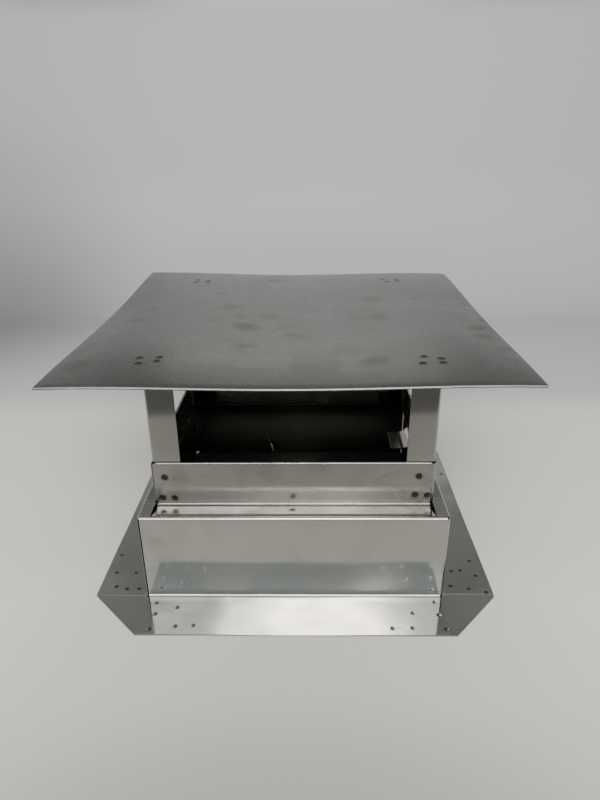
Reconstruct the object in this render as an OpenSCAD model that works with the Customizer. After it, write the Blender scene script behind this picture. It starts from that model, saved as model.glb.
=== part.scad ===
// Square sheet-metal ventilation cowl: a flat cap on four angle posts, standing in a low collar
// that sits on a square base box with a roof flange.
// Millimetres, +Z up, front towards -Y. The origin is the centre of the footprint, on the roof.

/* [Sheet metal] */
// Thickness of every sheet
sheet = 1; // [0.8:0.1:1.2]
// Outside radius of the ordinary folds
fold_r = 2.5; // [2:0.25:3.5]
// Outside radius of the upright corner folds
corner_r = 3; // [3:0.5:4]
// Gap where two sheets meet edge to edge
seam_gap = 0.4; // [0.2:0.1:0.8]
// Gap inside a closed hem
hem_gap = 0.3; // [0.25:0.05:0.5]

/* [Base box] */
// Outside width and depth of the square base box
base_side = 300; // [290:2:310]
// Height of the base walls above the roof flange
base_h = 95; // [80:1:120]
// Width of the flange strips that lie on the roof
flange_w = 52; // [40:1:60]
// How far the front and back lips fall from the box's edge to the collar
lip_fall = 5; // [3:0.5:6]
// The same for the narrow lips at the sides
side_lip_fall = 1; // [0.5:0.5:2]

/* [Collar] */
// Outside width of the collar, left to right
collar_w = 276; // [270:1:280]
// Outside depth of the collar, front to back
collar_d = 245; // [240:1:255]
// Height of the collar above its ledge
collar_h = 48; // [40:1:60]
// Bare strip of lip between the collar's flange and the box's edge, at the front and back
ledge_bare_front = 6; // [4:0.5:9]
// The same strip at the sides
ledge_bare_side = 3.5; // [3:0.5:5]
// How far the front and back flanges narrow towards their outer edge, at each end
flange_taper = 5; // [2:0.5:8]
// Depth of the closed hem along the collar's top edge
collar_hem = 8; // [6:1:12]

/* [Posts] */
// Width of each leg of the angle posts
post_leg = 27.5; // [22:0.5:30]
// Length of the tab that carries the cap
tab_l = 40; // [36:1:44]

/* [Cap] */
// Width and depth of the square cap
cap_side = 400; // [390:2:420]
// Height of the middle of the cap's top face above the roof
cap_z = 256; // [240:1:280]
// Sag of the cap at the middle of its left and right edges
cap_sag_side = 5.8; // [4:0.1:7]
// Sag of the cap at the middle of its front and back edges
cap_sag_front = 4.8; // [4:0.1:7]
// Lift that the front left corner gets back against that sag
lift_front_left = 7.5; // [6:0.1:10.5]
// The same at the front right corner
lift_front_right = 8; // [6:0.1:10.5]
// The same at the back left corner
lift_back_left = 10.5; // [6:0.1:10.5]
// The same at the back right corner
lift_back_right = 6.1; // [6:0.1:10.5]
// Width of the closed hem round the cap's edge
cap_hem = 12; // [8:1:16]
// Divisions of the cap's curved plate along each side
cap_cells = 16; // [12:2:20]

/* [Gussets] */
// Distance from the box's middle line to the gusset's end, along the flange's outer edge
gusset_outer = 82; // [75:1:95]
// The same distance along the base wall
gusset_inner = 106; // [100:1:120]
// How far the front right gusset's corner stands out past the front flange strip
gusset_overhang = 4; // [0:1:8]

/* [Inner fittings] */
// Length of the hold-down clip along the wall
clip_l = 40; // [30:1:50]
// Reach of the clip into the duct
clip_reach = 28; // [20:1:32]
// Height of the clip's upright leg
clip_leg = 22; // [16:1:28]
// Bend radius of the clip, to the middle of its sheet
clip_fold = 17; // [4:1:18]
// Height of the clip's flat leg above the roof
clip_z = 101; // [98:1:106]
// Diameter of the hook's wire
hook_d = 4.5; // [3:0.5:6]
// Bend radius of the hook, to the middle of its wire
hook_r = 20; // [16:1:24]
// Angle that the hook bends through
hook_turn = 60; // [45:5:75]
// Distance of the hook from the box's middle line
hook_x = 43; // [30:1:60]

/* [Hidden] */
$fn = 48;

half_sheet = sheet / 2;
touch = 0.05;              // clearance between sheets that lie on each other
fold_steps = 6;            // straight steps in each fold of a bent sheet
base_half = base_side / 2;
flange_half = base_half + flange_w;
flange_mid_z = sheet + half_sheet;
flange_top = 2 * sheet;
base_top = flange_top + base_h;
lip_end_z = base_top - lip_fall;

collar_half_x = collar_w / 2;
collar_half_y = collar_d / 2;
collar_in_x = collar_half_x - sheet;
collar_in_y = collar_half_y - sheet;
collar_top = lip_end_z + sheet + collar_h;
hem_t = 2 * sheet + hem_gap;
hem_r = (sheet + hem_gap) / 2 - touch;
hem_clear = corner_r + 2;  // the front and back hems stop this far from the corners
lip_run_front = base_half - collar_in_y;
lip_run_side = base_half - collar_in_x;
front_lip_half = collar_in_x;           // the front and back lips end at the side lips' inner edges
side_lip_half = base_half - fold_r;     // the side lips run to the front and back walls' folds
relief_h = 6;              // height of the open notches at the ends of the corner folds

post_x = collar_in_x - touch;
post_y = collar_half_y - hem_t - touch;
side_hem_half = post_y - post_leg - 2;  // the side hems stop short of the posts' side legs
post_bottom = lip_end_z + 3;
post_r = 2;
tab_end_y = post_y + tab_l;
cap_half = cap_side / 2;

// ---- shapes shared by the sheets ----

function unit(v) = v / norm(v);
function left(v) = [-v[1], v[0]];
function turned(v, a) = [v[0] * cos(a) - v[1] * sin(a), v[0] * sin(a) + v[1] * cos(a)];
function turn(a, b) = atan2(a[0] * b[1] - a[1] * b[0], a * b);

// One face of a bent sheet at distance d to the left of its middle line p, with folds of radius r
function face(p, r, d) = [
    for (i = [0 : len(p) - 1])
        let (
            a = unit(i == 0 ? p[1] - p[0] : p[i] - p[i - 1]),
            b = unit(i == len(p) - 1 ? a : p[i + 1] - p[i]),
            bend = turn(a, b),
            way = sign(bend)
        )
        if (abs(bend) < 0.01) p[i] + d * left(a)
        else
            let (centre = p[i] - r * tan(abs(bend) / 2) * a + way * r * left(a))
            each [
                for (k = [0 : fold_steps])
                    centre - way * (r - way * d) * turned(left(a), bend * k / fold_steps)
            ]
];

function reversed(p) = [for (i = [len(p) - 1 : -1 : 0]) p[i]];

// Cross-section of a sheet bent along the middle line p
function bent(p, r) = concat(face(p, r, half_sheet), reversed(face(p, r, -half_sheet)));

// A bent sheet along the front side, from x0 to x1. In the outline p, the first number is the
// distance outwards from the plane y = -reach and the second is the height.
module front_strip(p, r, reach, x0, x1) {
    translate([x1, -reach, 0])
        rotate([90, 0, -90])
            linear_extrude(x1 - x0)
                polygon(bent(p, r));
}

// Upright quarter-round corner of a box with the given half sizes, at its front right
module corner_fold(half_x, half_y, z0, z1) {
    translate([half_x - corner_r, -half_y + corner_r, z0])
        rotate([0, 0, -90])
            rotate_extrude(angle = 90)
                translate([corner_r - sheet, 0])
                    square([sheet, z1 - z0]);
}

// ---- base box ----

function lip_slope(run, fall) = atan2(fall, run - fold_r);

// Roof flange, wall and top lip in one bent sheet
function base_outline(run, fall) = [
    [flange_w, flange_mid_z],
    [-half_sheet, flange_mid_z],
    [-half_sheet, base_top - half_sheet],
    [-run, base_top - fall - half_sheet / cos(lip_slope(run, fall))]
];

// Space beyond the ends of a lip on the side y = -base_half. The folds above the walls are mitred
// at the box's corners, and from there inwards the lip is half_l long to either side.
module lip_ends(half_l) {
    for (s = [-1, 1])
        translate([-s * seam_gap / 2, 0, base_top - relief_h])
            linear_extrude(2 * relief_h)
                polygon([
                    [s * base_half, -base_half],
                    [s * (base_half - fold_r), -base_half + fold_r],
                    [s * half_l, -base_half + fold_r],
                    [s * half_l, 0],
                    [s * (base_half + 1), 0],
                    [s * (base_half + 1), -base_half]
                ]);
}

// Half of the base box: two walls joined by an upright fold, seams at the free ends
module base_half_box() {
    middle_r = fold_r - half_sheet;
    difference() {
        front_strip(
            base_outline(lip_run_front, lip_fall), middle_r, base_half,
            -base_half + sheet + seam_gap, base_half - corner_r
        );
        lip_ends(front_lip_half);
    }
    rotate([0, 0, 90])
        difference() {
            front_strip(
                base_outline(lip_run_side, side_lip_fall), middle_r, base_half,
                -base_half + corner_r, base_half
            );
            lip_ends(side_lip_half);
        }
    corner_fold(base_half, base_half, flange_top + relief_h / 2, base_top - relief_h / 2);
}

module base_front_right() {
    color("silver") base_half_box();
}

module base_back_left() {
    color("silver") rotate([0, 0, 180]) base_half_box();
}

// ---- collar ----

// Wall and outward flange of the collar. The flange lies on the base's sloping lip.
function collar_outline(run, fall, width) =
    let (
        slope = lip_slope(run, fall),
        foot_z = base_top - fall + touch + half_sheet / cos(slope)
    )
    [
        [width, foot_z + (width + sheet) * tan(slope)],
        [-half_sheet, foot_z + half_sheet * tan(slope)],
        [-half_sheet, collar_top - sheet]
    ];

// Closed hem folded inwards over the top of the wall
function hem_outline() = [
    [-half_sheet, collar_top - 2 * sheet],
    [-half_sheet, collar_top - half_sheet],
    [-half_sheet - sheet - hem_gap, collar_top - half_sheet],
    [-half_sheet - sheet - hem_gap, collar_top - collar_hem]
];

// Space beyond the tapered ends of the collar's front flange
module flange_ends(width) {
    end_x = collar_in_x - seam_gap;
    for (s = [-1, 1])
        translate([0, 0, lip_end_z - relief_h])
            linear_extrude(2 * relief_h + lip_fall)
                polygon([
                    [s * end_x, -collar_half_y],
                    [s * (end_x - flange_taper), -collar_half_y - width],
                    [s * (end_x - flange_taper), -base_half],
                    [s * (collar_half_x + 1), -base_half],
                    [s * (collar_half_x + 1), -collar_half_y]
                ]);
}

// Half of the collar: two walls joined by an upright fold, seams at the free ends
module collar_half_ring() {
    middle_r = fold_r - half_sheet;
    front_w = base_half - collar_half_y - ledge_bare_front;
    side_w = base_half - collar_half_x - ledge_bare_side;
    difference() {
        front_strip(
            collar_outline(lip_run_front, lip_fall, front_w), middle_r, collar_half_y,
            -collar_in_x + seam_gap, collar_half_x - corner_r
        );
        flange_ends(front_w);
    }
    front_strip(hem_outline(), hem_r, collar_half_y, -collar_half_x + hem_clear, collar_half_x - hem_clear);
    rotate([0, 0, 90]) {
        front_strip(
            collar_outline(lip_run_side, side_lip_fall, side_w), middle_r, collar_half_x,
            -collar_half_y + corner_r, collar_half_y
        );
        front_strip(hem_outline(), hem_r, collar_half_x, -side_hem_half, side_hem_half);
    }
    corner_fold(collar_half_x, collar_half_y, lip_end_z + relief_h, collar_top - sheet);
}

module collar_front_right() {
    color("lightgray") collar_half_ring();
}

module collar_back_left() {
    color("lightgray") rotate([0, 0, 180]) collar_half_ring();
}

// ---- cap ----

function corner_lift(x, y) =
    y < 0 ? (x < 0 ? lift_front_left : lift_front_right) : (x < 0 ? lift_back_left : lift_back_right);

// Height of the cap's top face: it sags towards the middle of each edge and rises at the corners
function cap_height(x, y) =
    let (u = x / cap_half, v = y / cap_half)
    cap_z - cap_sag_side * pow(u, 4) - cap_sag_front * pow(v, 4) + corner_lift(x, y) * u * u * v * v;

// Grid lines of the plate, with a close pair where the hem's inner edge steps back
hem_step = 0.5;
hem_line = cap_half - cap_hem;
cap_lines = concat(
    [-cap_half, -hem_line - hem_step],
    [for (i = [0 : cap_cells]) -hem_line + 2 * hem_line * i / cap_cells],
    [hem_line + hem_step, cap_half]
);
cap_count = len(cap_lines);

function cap_thickness(x, y) = max(abs(x), abs(y)) > hem_line + hem_step / 2 ? hem_t : sheet;

module cap() {
    n = cap_count;
    top = [for (y = cap_lines) for (x = cap_lines) [x, y, cap_height(x, y)]];
    bottom = [for (p = top) [p[0], p[1], p[2] - cap_thickness(p[0], p[1])]];
    edge = concat(
        [for (i = [0 : n - 2]) i],
        [for (j = [0 : n - 2]) j * n + n - 1],
        [for (i = [n - 1 : -1 : 1]) (n - 1) * n + i],
        [for (j = [n - 1 : -1 : 1]) j * n]
    );
    skins = [
        for (j = [0 : n - 2])
            for (i = [0 : n - 2])
                let (a = j * n + i, b = a + 1, c = b + n, d = a + n, o = n * n)
                each [[d, c, b], [d, b, a], [a + o, b + o, c + o], [a + o, c + o, d + o]]
    ];
    rims = [
        for (k = [0 : len(edge) - 1])
            let (a = edge[k], b = edge[(k + 1) % len(edge)], o = n * n)
            each [[a, b, b + o], [a, b + o, a + o]]
    ];
    color("gray")
        polyhedron(points = concat(top, bottom), faces = concat(skins, rims));
}

// ---- posts ----

function under_cap(x, y) = cap_height(x, y) - sheet - touch;

// Lowest height under the cap across a post's width, at distance y from the middle line.
// The signs sx and sy say which corner the post stands at.
function tab_height(y, sx, sy) =
    min(under_cap(sx * post_x, sy * y), under_cap(sx * (post_x - post_leg), sy * y));

// Front leg, with its top folded outwards as the tab under the cap
function post_outline(sx, sy) = [
    [-half_sheet, post_bottom],
    [-half_sheet, tab_height(post_y, sx, sy) - half_sheet],
    [tab_l, tab_height(tab_end_y, sx, sy) - half_sheet]
];

// A post drawn at the front right, with the height that it has at its own corner
module post(sx, sy) {
    side_top = tab_height(post_y, sx, sy) - 2 * post_r;
    front_strip(
        post_outline(sx, sy), post_r - half_sheet, post_y, post_x - post_leg, post_x - post_r
    );
    translate([post_x - sheet, -post_y + post_r, post_bottom])
        cube([sheet, post_leg - post_r, side_top - post_bottom]);
    translate([post_x - post_r, -post_y + post_r, post_bottom])
        rotate([0, 0, -90])
            rotate_extrude(angle = 90)
                translate([post_r - sheet, 0])
                    square([sheet, side_top - post_bottom]);
}

module post_front_right() {
    color("darkgray") post(1, -1);
}

module post_front_left() {
    color("darkgray") mirror([1, 0, 0]) post(-1, -1);
}

module post_back_right() {
    color("darkgray") mirror([0, 1, 0]) post(1, 1);
}

module post_back_left() {
    color("darkgray") rotate([0, 0, 180]) post(-1, 1);
}

// ---- gussets under the flange corners ----

// overhang: how far the plate's front corner stands out past the end of the front flange strip
module gusset(overhang = 0) {
    inner = base_half - sheet;
    linear_extrude(sheet)
        polygon([
            [flange_half, -base_half],
            [base_half + overhang, -flange_half],
            [gusset_outer, -flange_half],
            [gusset_inner, -inner],
            [inner, -inner],
            [inner, -gusset_inner],
            [flange_half, -gusset_outer]
        ]);
}

module gusset_front_right() {
    color("dimgray") gusset(gusset_overhang);
}

module gusset_front_left() {
    color("dimgray") mirror([1, 0, 0]) gusset();
}

module gusset_back_right() {
    color("dimgray") mirror([0, 1, 0]) gusset();
}

module gusset_back_left() {
    color("dimgray") rotate([0, 0, 180]) gusset();
}

// ---- inner fittings ----

// Hold-down clip on the inside of the collar's right wall
module inner_clip() {
    color("gainsboro")
        rotate([0, 0, 90])
            front_strip(
                [
                    [-half_sheet, clip_z + clip_leg],
                    [-half_sheet, clip_z - half_sheet],
                    [-clip_reach, clip_z - half_sheet]
                ],
                clip_fold, collar_in_x - touch, -clip_l / 2, clip_l / 2
            );
}

// Short bent wire hook on the inside of the back wall, near its foot
module inner_hook() {
    hook_lean = 25;
    hook_top = 24;
    color("gainsboro")
        translate([-hook_x, base_half - sheet - touch - hook_d / 2, hook_top])
            rotate([0, -hook_lean, 0])
                translate([0, -hook_r, 0])
                    rotate([0, 90, 0])
                        rotate([0, 0, 90 - hook_turn])
                            rotate_extrude(angle = hook_turn)
                                translate([hook_r, 0])
                                    circle(d = hook_d, $fn = 24);
}

cap();
post_front_left();
post_front_right();
post_back_left();
post_back_right();
collar_front_right();
collar_back_left();
base_front_right();
base_back_left();
gusset_front_left();
gusset_front_right();
gusset_back_left();
gusset_back_right();
inner_clip();
inner_hook();
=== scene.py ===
import math
import random

import bpy
import numpy as np
from mathutils import Matrix, Vector

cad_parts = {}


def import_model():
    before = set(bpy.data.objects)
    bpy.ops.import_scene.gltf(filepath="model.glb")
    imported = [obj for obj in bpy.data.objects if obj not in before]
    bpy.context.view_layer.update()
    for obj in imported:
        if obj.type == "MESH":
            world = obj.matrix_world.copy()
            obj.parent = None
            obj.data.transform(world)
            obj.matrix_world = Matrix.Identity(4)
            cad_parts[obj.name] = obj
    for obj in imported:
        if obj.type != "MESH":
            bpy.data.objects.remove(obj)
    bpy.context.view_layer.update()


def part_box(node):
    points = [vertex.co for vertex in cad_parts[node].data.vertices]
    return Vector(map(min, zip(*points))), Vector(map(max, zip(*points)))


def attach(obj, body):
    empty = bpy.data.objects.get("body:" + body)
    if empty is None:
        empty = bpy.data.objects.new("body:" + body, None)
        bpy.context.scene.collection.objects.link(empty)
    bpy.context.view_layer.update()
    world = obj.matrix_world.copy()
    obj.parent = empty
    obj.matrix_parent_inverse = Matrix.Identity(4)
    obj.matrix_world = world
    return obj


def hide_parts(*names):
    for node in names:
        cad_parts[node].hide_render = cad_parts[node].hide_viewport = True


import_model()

# Square ventilation cowl of folded, hemmed and spot-welded stainless sheet.
# Metres, in the CAD frame: +Z up, front towards -Y.

MM = 0.001

# ---------------------------------------------------------------- sizes

GUSSET_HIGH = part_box("gusset_front_right")[1]
BASE_LOW, BASE_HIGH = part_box("base_front_right")
COLLAR_LOW, COLLAR_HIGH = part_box("collar_front_right")
CAP_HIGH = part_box("cap")[1]
POST_LOW, POST_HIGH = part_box("post_front_right")
CLIP_LOW, CLIP_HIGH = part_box("inner_clip")

SHEET = GUSSET_HIGH.z  # thickness of every sheet
FOLD = 2.0 * MM  # middle radius of an ordinary fold
FOLD_OUT = FOLD + SHEET / 2  # outside radius of an ordinary fold
CORNER = 3.0 * MM  # outside radius of the upright corner folds
SEAM = 0.4 * MM  # gap where two sheets meet edge to edge
OPEN_SEAM = 0.6 * MM  # how much further the base's front seam gapes
TOUCH = 0.05 * MM  # clearance between sheets that lie on each other
HEM_GAP = 0.3 * MM  # gap inside a closed hem
HEM_FOLD = (SHEET + HEM_GAP) / 2 - TOUCH  # middle radius of each half of a hem's fold
FOLD_STEPS = 8
COARSE = 8.0 * MM  # mesh spacing away from the weld marks
BIG_MARK = (2.2, 0.26)  # radius and depth of a weld mark on the collar and the cap, in mm
SMALL_MARK = (1.8, 0.26)  # radius and depth of one on the base's flange
PATCH = {  # half width and spacing of the fine mesh round each kind of mark
    BIG_MARK: (4.4 * MM, 0.8 * MM),
    SMALL_MARK: (3.3 * MM, 0.6 * MM),
}
TOO_NEAR = 1e-7  # mesh lines nearer than this are one line
FAR_FROM_WELD = 30.0  # "weld" attribute where no mark is near, in mm

BASE_HALF = SHEET + SEAM - BASE_LOW.x  # the front strip starts beside the left wall
FLANGE_W = BASE_HIGH.x - BASE_HALF
FLANGE_Z = 1.5 * SHEET  # middle of the flange strips
BASE_TOP = 97.0 * MM  # height of the base box's top edges
LIP_FALL = (5.0 * MM, -0.5 * MM)  # fall towards the collar of the front and the side lips, which rise
COLLAR_X = SHEET + SEAM - COLLAR_LOW.x  # outside half width of the collar
COLLAR_Y = 122.5 * MM  # outside half depth of the collar
COLLAR_TOP = COLLAR_HIGH.z
COLLAR_HEM = 8.0 * MM  # depth of the hem along the collar's top edge
FLANGE_TAPER = 5.0 * MM  # how much the collar's front flange narrows at each end
CAP_HALF = CAP_HIGH.x
CAP_Z = CAP_HIGH.z
CAP_HEM = 12.0 * MM  # width of the hem round the cap's edge
CAP_SAG_SIDE = 5.8 * MM  # sag at the middle of the left and right edges
CAP_SAG_FRONT = 4.8 * MM  # sag at the middle of the front and back edges
CORNER_LIFT = {  # what each corner gets back, by the signs of its x and y
    (-1, -1): 7.5 * MM,
    (1, -1): 8.0 * MM,
    (-1, 1): 10.5 * MM,
    (1, 1): 6.1 * MM,
}
POST_LEG = POST_HIGH.x - POST_LOW.x
POST_FOLD = 1.5 * MM  # middle radius of the posts' folds
TAB_L = 40.0 * MM  # length of the tab under the cap
SIDE_LEG_SHORT = 4.0 * MM  # the post's side leg ends this far below its tab
CLIP_FOLD = 17.0 * MM  # middle radius of the clip's fold
HOOK_RADIUS = 2.25 * MM  # radius of the hook's wire
HOOK_BEND = 20.0 * MM  # middle radius of the hook's bend
HOOK_TURN = math.radians(60)  # angle that the hook bends through
HOOK_LEAN = math.radians(25)  # how far it leans sideways
HOOK_X, HOOK_Z = -43.0 * MM, 24.0 * MM  # where its upper end is
GUSSET_OUTER = 82.0 * MM  # from the box's middle line to the gusset's end, at its outer edge
GUSSET_INNER = 106.0 * MM  # the same along the base wall
GUSSET_OVERHANG = 4.0 * MM  # the front right gusset stands out past the front strip
TAB_END = -POST_LOW.y  # the tab's free end, from the middle line
POST_Y = TAB_END - TAB_L  # the post's outer face, from the middle line
HEM_CLEAR = 2.0 * MM  # the collar's hems stop this far short of its corners and the posts
HEM_HALF = (COLLAR_X - CORNER - HEM_CLEAR, POST_Y - POST_LEG - HEM_CLEAR)


# ---------------------------------------------------------------- spot welds
# Each layout is a list of places in mm, measured from a corner of the sheet.

# (along the strip, out from the wall), from the base box's corner
FLANGE_WELDS = {
    "front_left": [(12, 11), (34, 17), (14, 26), (13, 46), (37, 42), (54, 41)],
    "front_right": [(10, 9), (34, 24), (9, 26.5), (37, 43.5), (56, 44), (5.5, 45)],
    "side_left": [(9, 10.5), (9, 23), (12.5, 35), (34, 20), (34, 41), (63, 44)],
    "side_right": [(14, 10.5), (10, 28.5), (5, 45), (30, 40.5), (37, 16.5), (38.5, 26), (54, 39.5)],
}
# (in from the collar's corner, down from its top)
COLLAR_WELDS = {
    "left": [(12, 16), (8, 39.5), (20, 40)],
    "right": [(16, 15), (18.5, 36), (6.5, 37)],
}
# (in from the post's outer face, out from the collar's front or back face)
TAB_WELDS = {
    "left": [(6.5, 17), (23.5, 16), (8.5, 30), (23, 25)],
    "right": [(22.5, 17), (8.5, 21.5), (26, 32), (9, 31)],
}
LEDGE_WELD = 13.0 * MM  # the weld at each ledge's middle, out from the collar
LEDGE_WELD_X = -1.0 * MM  # and its place along the ledge
COLLAR_SIDE_SHIFT = (3, 2)  # marks on the side walls stand this much further in, in mm
TAB_JITTER = 1.6  # how far the marks over the back tabs are moved, in mm


def jittered(spots, seed, amount=1.2):
    """The same layout with each mark moved a little, for the corners that the eye compares."""
    draw = random.Random(seed)
    return [(a + draw.uniform(-amount, amount), b + draw.uniform(-amount, amount)) for a, b in spots]


# ---------------------------------------------------------------- folded paths

class Path:
    """A sheet's middle line in a plane: straight pieces joined by round folds."""

    def __init__(self, points, radii):
        points = [np.array(p, float) for p in points]
        self.pieces = []
        start = points[0]
        for i in range(1, len(points)):
            way = points[i] - points[i - 1]
            way = way / np.linalg.norm(way)
            left = np.array([-way[1], way[0]])
            if i == len(points) - 1:
                self.pieces.append(("line", start, way, np.linalg.norm(points[i] - start)))
                break
            after = points[i + 1] - points[i]
            after = after / np.linalg.norm(after)
            bend = math.atan2(way[0] * after[1] - way[1] * after[0], float(way @ after))
            radius = radii[i - 1]
            cut = radius * math.tan(abs(bend) / 2)
            fold_start = points[i] - cut * way
            self.pieces.append(("line", start, way, np.linalg.norm(fold_start - start)))
            centre = fold_start + math.copysign(radius, bend) * left
            self.pieces.append(("fold", centre, fold_start - centre, bend))
            start = points[i] + cut * after

    def at(self, piece, share):
        """Position and left-hand normal at a share of one piece."""
        kind, a, b, c = self.pieces[piece]
        if kind == "line":
            return a + b * c * share, np.array([-b[1], b[0]])
        turn = c * share
        spin = np.array([[math.cos(turn), -math.sin(turn)], [math.sin(turn), math.cos(turn)]])
        arm = spin @ b
        return a + arm, -arm / np.linalg.norm(arm) * math.copysign(1, c)


def spaced(low, high, spots=(), coarse=COARSE, mark=BIG_MARK):
    """Mesh lines from low to high: coarse, and fine near each spot."""
    reach, fine = PATCH[mark]
    marks = {low, high}
    windows = sorted((max(low, s - reach), min(high, s + reach)) for s in spots)
    joined = []
    for a, b in windows:
        if b <= a:
            continue
        if joined and a <= joined[-1][1] + fine:
            joined[-1][1] = max(b, joined[-1][1])
        else:
            joined.append([a, b])
    edges = [low] + [x for w in joined for x in w] + [high]
    for k in range(len(edges) - 1):
        a, b = edges[k], edges[k + 1]
        if b - a < TOO_NEAR:
            continue
        step = fine if k % 2 else coarse
        n = max(1, math.ceil((b - a) / step))
        marks.update(a + (b - a) * i / n for i in range(n + 1))
    return sorted(marks)


def rows_of(path, spots=None, coarse=COARSE, fold_steps=FOLD_STEPS, mark=BIG_MARK):
    """(piece, share) of each mesh row along a path. spots gives, for a straight piece, distances along it."""
    rows = []
    for i, piece in enumerate(path.pieces):
        if piece[0] == "line":
            length = piece[3]
            shares = [s / length for s in spaced(0, length, (spots or {}).get(i, ()), coarse, mark)]
        else:
            shares = [k / fold_steps for k in range(fold_steps + 1)]
        rows += [(i, s) for s in (shares if i == 0 else shares[1:])]
    return rows


# ---------------------------------------------------------------- meshes

SHEET_BEVEL = 0.12 * MM  # rounding of a sheet's cut edges
PLATE_BEVEL = 0.15 * MM  # the same on the small plates and the clip
SHARP_ANGLE = math.radians(35)  # edges that turn by more are shaded sharp
BEVEL_ANGLE = math.radians(55)  # edges that turn by more are rounded
RIM_HEIGHT = 0.25  # the rim round a weld mark, as a share of the mark's depth
RIM_PLACE, RIM_WIDTH = 1.3, 0.2  # where it is and how wide, as shares of the mark's radius
RIPPLE_WAVES = 5  # waves in an uneven surface
WAVE_SPREAD = (0.7, 1.8)  # their shortest and longest, as shares of its wavelength
FADE_POWER = 0.7  # below 1, so that a panel is uneven almost up to its edges


def mesh_of(name, points, faces):
    mesh = bpy.data.meshes.new(name)
    mesh.from_pydata(points, [], faces)
    return mesh


def linked(name, data):
    """An object of some data, in the scene."""
    made = bpy.data.objects.new(name, data)
    bpy.context.scene.collection.objects.link(made)
    return made


def shell(name, outer, inner, cells, weld, bevel=SHEET_BEVEL):
    """A closed sheet between two matching grids of points.

    cells says which grid cells exist, and weld how far in mm each grid point is from a weld mark.
    The sheet's cut edges get the face attribute "sheared".
    """
    rows, cols = outer.shape[:2]
    count = rows * cols
    index = np.arange(count).reshape(rows, cols)
    quads = np.stack([index[:-1, :-1], index[:-1, 1:], index[1:, 1:], index[1:, :-1]], -1)[cells]
    edges = quads[:, [0, 1, 1, 2, 2, 3, 3, 0]].reshape(-1, 2)
    lone = ~np.isin(edges[:, 0] * count + edges[:, 1], edges[:, 1] * count + edges[:, 0])
    a, b = edges[lone].T
    rims = np.stack([b, a, a + count, b + count], -1)
    faces = np.concatenate([quads, quads[:, ::-1] + count, rims])
    used, faces = np.unique(faces, return_inverse=True)
    faces = faces.reshape(-1, 4)
    points = np.concatenate([outer.reshape(-1, 3), inner.reshape(-1, 3)])[used]
    mesh = mesh_of(name, points.tolist(), faces.tolist())
    values = np.concatenate([weld.ravel(), weld.ravel()])[used]
    mesh.attributes.new("weld", "FLOAT", "POINT").data.foreach_set("value", values.astype(np.float32))
    sheared = np.zeros(len(faces), np.float32)
    sheared[len(quads) * 2:] = 1
    mesh.attributes.new("sheared", "FLOAT", "FACE").data.foreach_set("value", sheared)
    return finished(name, mesh, bevel)


def finished(name, mesh, bevel):
    """Links a mesh as an object, with smooth shading and small bevels on its sheared edges."""
    if "weld" not in mesh.attributes:
        far = [FAR_FROM_WELD] * len(mesh.vertices)
        mesh.attributes.new("weld", "FLOAT", "POINT").data.foreach_set("value", far)
    mesh.validate()
    mesh.shade_smooth()
    mesh.set_sharp_from_angle(angle=SHARP_ANGLE)
    piece = linked(name, mesh)
    if bevel:
        cut = piece.modifiers.new("edge", "BEVEL")
        cut.width = bevel
        cut.segments = 2
        cut.limit_method = "ANGLE"
        cut.angle_limit = BEVEL_ANGLE
        cut.use_clamp_overlap = True
        cut.harden_normals = True
    return piece


def weld_distance(points, welds):
    """Distance in mm from each point to the nearest weld mark."""
    nearest = np.full(points.shape[:2], FAR_FROM_WELD)
    for w in welds:
        nearest = np.minimum(nearest, np.linalg.norm(points - np.array(w), axis=-1) / MM)
    return nearest


def dimple(distance, mark=BIG_MARK):
    """Height of a spot weld mark: a pressed hollow with a faint raised rim."""
    radius, depth = mark
    hollow = -depth * np.exp(-(distance / radius) ** 4)
    rim = RIM_HEIGHT * depth * np.exp(-((distance - RIM_PLACE * radius) / (RIM_WIDTH * radius)) ** 2)
    return (hollow + rim) * MM


def ripple(x, y, seed, size):
    """A smooth uneven surface from a few waves, about -1 to 1. size is the wavelength in metres."""
    draw = random.Random(seed)
    total = 0
    for _ in range(RIPPLE_WAVES):
        angle = draw.uniform(0, math.pi)
        wave = 2 * math.pi / (size * draw.uniform(*WAVE_SPREAD))
        phase = draw.uniform(0, 2 * math.pi)
        total = total + np.sin(wave * (x * math.cos(angle) + y * math.sin(angle)) + phase)
    return total / RIPPLE_WAVES


def faded(share):
    """0 at both ends of a panel and 1 in its middle."""
    return np.clip(np.sin(np.pi * np.clip(share, 0, 1)), 0, 1) ** FADE_POWER


# ---------------------------------------------------------------- bent box walls

class Side:
    """One side of a box: its middle, which way is outwards and which way its places run."""

    def __init__(self, origin, out, along):
        self.origin, self.out, self.along = (np.array(v, float) for v in (origin, out, along))


def corner_columns(half_x, half_y):
    """Places and outward directions of the columns round the upright fold at the front right."""
    centre = np.array([half_x - CORNER, -half_y + CORNER])
    turns = [math.pi / 2 * k / FOLD_STEPS for k in range(1, FOLD_STEPS)]
    out = [np.array([math.sin(t), -math.cos(t)]) for t in turns]
    return [centre + CORNER * o for o in out], out


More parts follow.
